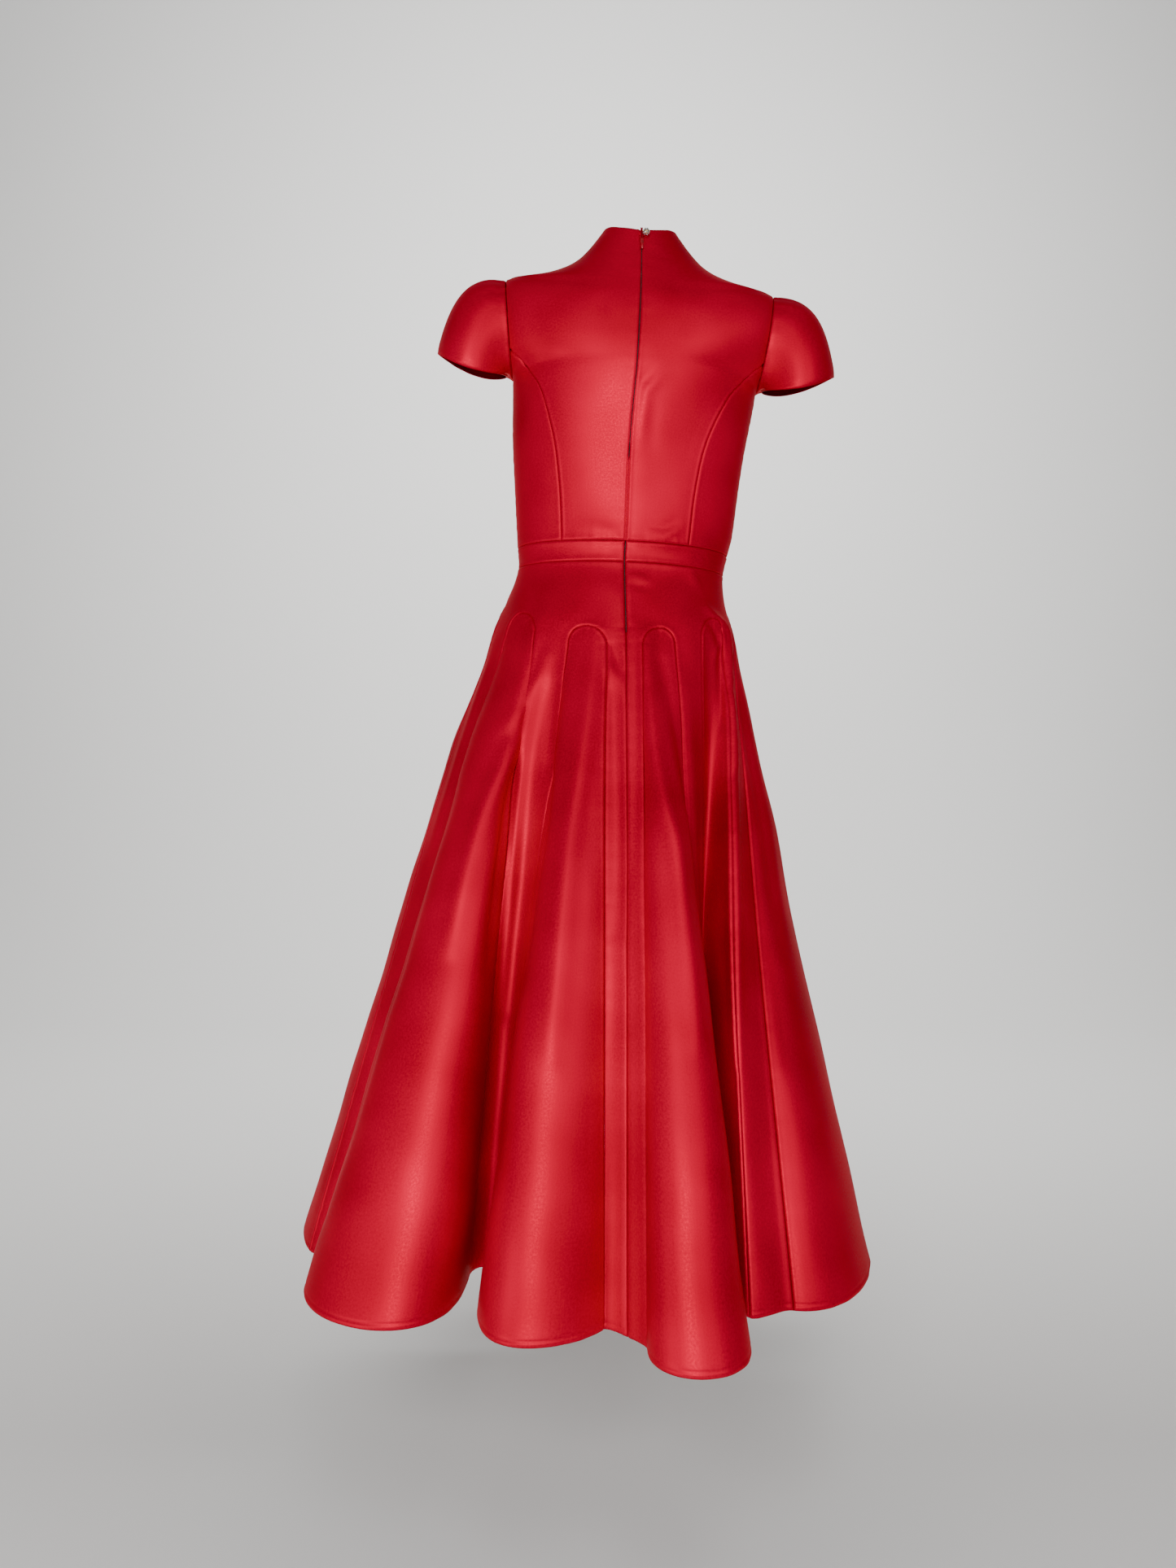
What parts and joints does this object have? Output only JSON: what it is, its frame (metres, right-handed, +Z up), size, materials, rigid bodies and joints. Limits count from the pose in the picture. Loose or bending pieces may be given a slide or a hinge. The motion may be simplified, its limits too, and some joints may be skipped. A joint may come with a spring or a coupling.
{
  "type": "dress",
  "caption": "Fitted satin dress in its worn form, with a funnel neck, cap sleeves, waistband, back zip and a long flared skirt with round-topped godets.",
  "frame": {"origin": "point between the shoulders where the wearer holds the dress up, under the neck opening", "axes": "+Z up, +Y out of the dress's back, +X towards the dress's own left side"},
  "size_m": [0.6761, 0.8988, 1.2433],
  "materials": {
    "satin": "heavy red duchess satin with a soft broad sheen",
    "zip_tape": "dark red woven tape with a nylon coil",
    "lacquer": "red lacquered zinc",
    "button": "pale gold with clear set stones"
  },
  "bodies": {
    "dress": {"bodice_back_left": "satin", "bodice_back_right": "satin", "bodice_side_back_left": "satin", "bodice_side_back_right": "satin", "bodice_front": "satin", "sleeve_left": "satin", "sleeve_right": "satin", "waistband_back_left": "satin", "waistband_back_right": "satin", "waistband_front": "satin", "skirt_back_left": "satin", "skirt_back_right": "satin", "skirt_front": "satin", "godet_back_inner_left": "satin", "godet_back_outer_left": "satin", "godet_side_left": "satin", "godet_front_outer_left": "satin", "godet_front_inner_left": "satin", "godet_front_inner_right": "satin", "godet_front_outer_right": "satin", "godet_side_right": "satin", "godet_back_outer_right": "satin", "godet_back_inner_right": "satin", "zip_tape": "zip_tape", "zip_slider": "lacquer", "button": "button", "button_loop": "satin"},
    "zip_pull": {"zip_pull": "lacquer"}
  },
  "joints": [
    {"name": "zip_pull_hinge", "type": "hinge", "parent": "dress", "child": "zip_pull", "pos_m": [-0.0011, 0.06633, 0.05496], "axis": [1, 0, 0], "range_deg": [0, 140]}
  ]
}
